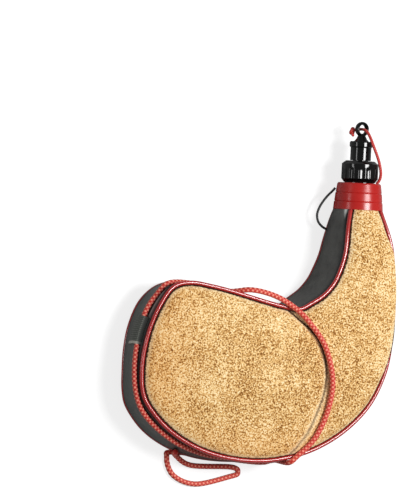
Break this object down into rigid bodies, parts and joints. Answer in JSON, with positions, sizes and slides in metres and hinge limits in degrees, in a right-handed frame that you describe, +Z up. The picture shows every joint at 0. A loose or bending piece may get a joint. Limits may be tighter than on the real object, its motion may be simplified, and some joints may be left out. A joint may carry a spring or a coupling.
{
  "type": "leather bota bag",
  "caption": "Curved suede wine skin with a folded side gusset, piped seams, carrying cord, and a screw-on filler with a stoppered spout on a tether.",
  "frame": {"origin": "middle of the flat of the back panel, on which the bag lies", "axes": "+Y along the neck from the bulb to the spout, +Z up through the front panel, +X towards the side that carries the neck"},
  "size_m": [0.2465, 0.3145, 0.0609],
  "materials": {
    "suede": "napped suede",
    "grey_leather": "smooth grained",
    "latex": "smooth",
    "red_piping": "gloss",
    "steel_band": "brushed",
    "black_plastic": "gloss",
    "red_plastic": "gloss",
    "rubber": "matt",
    "grey_webbing": "woven",
    "red_cord": "braided",
    "red_tether": "braided",
    "black_cord": "braided"
  },
  "bodies": {
    "bag": {"front_panel": "suede", "back_panel": "suede", "gusset": "grey_leather", "liner": "latex", "front_piping": "red_piping", "back_piping": "red_piping", "neck_band": "steel_band", "neck_insert": "black_plastic", "collar": "red_plastic", "bulb_keeper": "grey_webbing", "neck_keeper": "grey_webbing", "cord_anchor": "grey_leather", "carrying_knot": "red_cord", "carrying_cord": "red_cord", "tether_upper": "red_tether", "tether_lower": "red_tether", "tether_collar_loop": "red_tether", "hang_loop": "black_cord"},
    "ring_washer": {"ring_gasket": "rubber"},
    "ring": {"filler_ring": "black_plastic", "spout": "black_plastic"},
    "stopper_disc": {"stopper_seal": "rubber"},
    "stopper": {"stopper": "black_plastic", "tether_knot": "red_tether"}
  },
  "joints": [
    {"name": "ring_lift", "type": "slide", "parent": "bag", "child": "ring_washer", "axis": [0, 1, 0], "range_m": [0, 0.007], "deforming": ["tether_lower"]},
    {"name": "ring_turn", "type": "hinge", "parent": "ring_washer", "child": "ring", "pos_m": [0.10811, 0.143, 0.026], "axis": [0, 1, 0], "range_deg": [0, 720], "deforming": ["tether_lower", "tether_upper"]},
    {"name": "stopper_lift", "type": "slide", "parent": "ring", "child": "stopper_disc", "axis": [0, 1, 0], "range_m": [0, 0.006], "deforming": ["tether_upper"]},
    {"name": "stopper_turn", "type": "hinge", "parent": "stopper_disc", "child": "stopper", "pos_m": [0.10811, 0.143, 0.026], "axis": [0, 1, 0], "range_deg": [0, 1080], "deforming": ["tether_upper"]}
  ],
  "couplings": [
    {"joint": "ring_lift", "follows": "ring_turn", "m_per_rad": 0.00055704},
    {"joint": "stopper_lift", "follows": "stopper_turn", "m_per_rad": 0.00031831}
  ]
}
